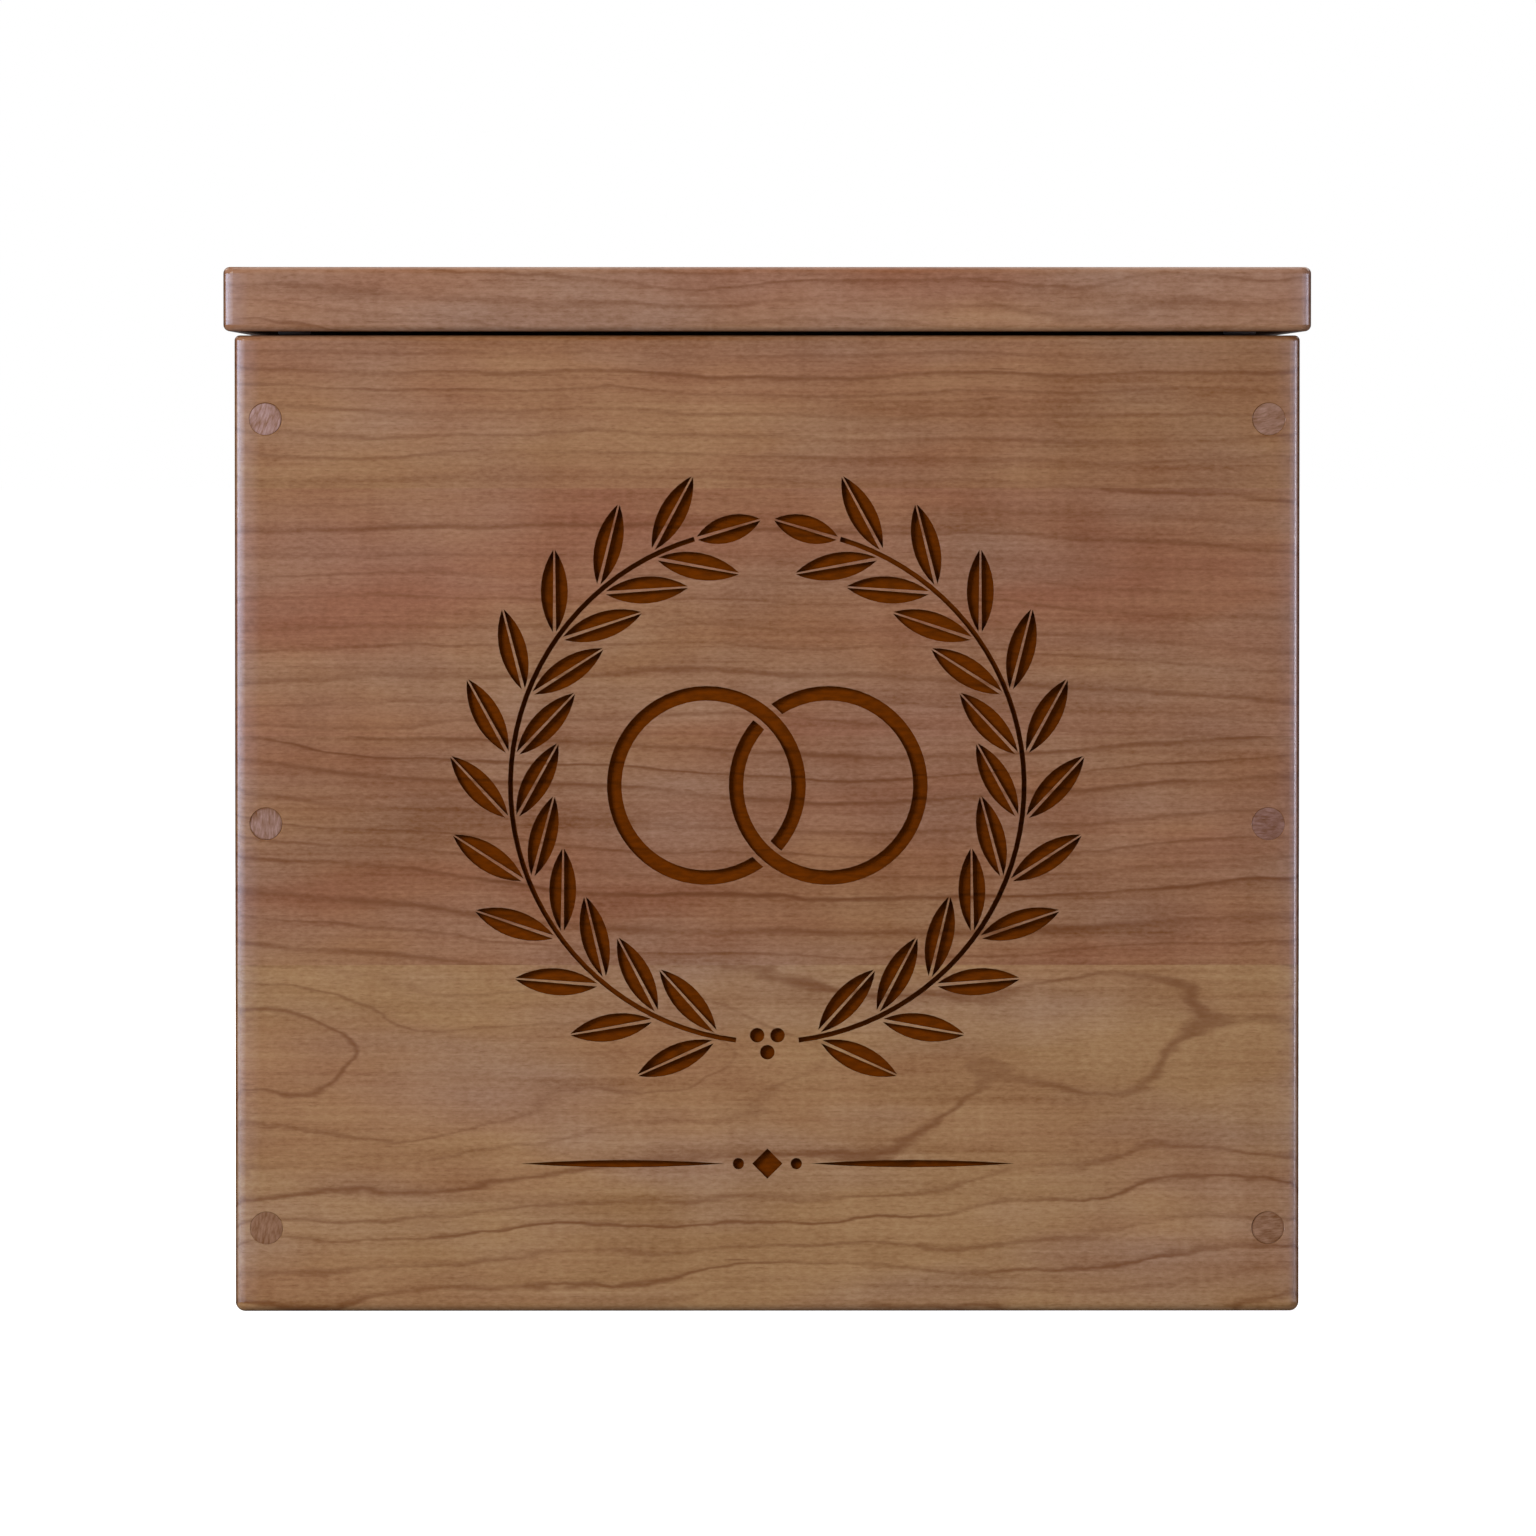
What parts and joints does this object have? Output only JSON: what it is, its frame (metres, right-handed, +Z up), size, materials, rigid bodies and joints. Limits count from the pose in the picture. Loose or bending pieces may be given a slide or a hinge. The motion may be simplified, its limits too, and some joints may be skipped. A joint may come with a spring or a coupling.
{
  "type": "wedding card box",
  "caption": "Square wooden card box with plugged board joints, an engraved front and an overhanging hinged lid with a long slot for posting cards.",
  "frame": {"origin": "centre of the bounding box, on the plane that the box stands on", "axes": "+Z up, the engraved front faces -Y, +X to the right of someone looking at the front"},
  "size_m": [0.3298, 0.3042, 0.3173],
  "materials": {
    "cherry": "satin oiled cherry",
    "plywood": "satin plywood",
    "plug_wood": "satin, sanded flush",
    "brass": "satin brass",
    "screw_steel": "zinc plated",
    "rubber": "matt brown rubber"
  },
  "bodies": {
    "case": {"front_panel": "cherry", "back_panel": "cherry", "left_side_panel": "cherry", "right_side_panel": "cherry", "bottom_panel": "plywood", "front_left_plugs": "plug_wood", "front_left_screws": "screw_steel", "front_right_plugs": "plug_wood", "front_right_screws": "screw_steel", "back_left_plugs": "plug_wood", "back_left_screws": "screw_steel", "back_right_plugs": "plug_wood", "back_right_screws": "screw_steel", "left_hinge_case_leaf": "brass", "left_hinge_pin": "brass", "left_hinge_case_screws": "brass", "right_hinge_case_leaf": "brass", "right_hinge_pin": "brass", "right_hinge_case_screws": "brass"},
    "lid": {"lid_board": "cherry", "lid_bumpers": "rubber", "left_hinge_lid_leaf": "brass", "left_hinge_lid_screws": "brass", "right_hinge_lid_leaf": "brass", "right_hinge_lid_screws": "brass"}
  },
  "joints": [
    {"name": "lid_hinge", "type": "hinge", "parent": "case", "child": "lid", "pos_m": [0, 0.14805, 0.2972], "axis": [-1, 0, 0], "range_deg": [0, 100]}
  ]
}
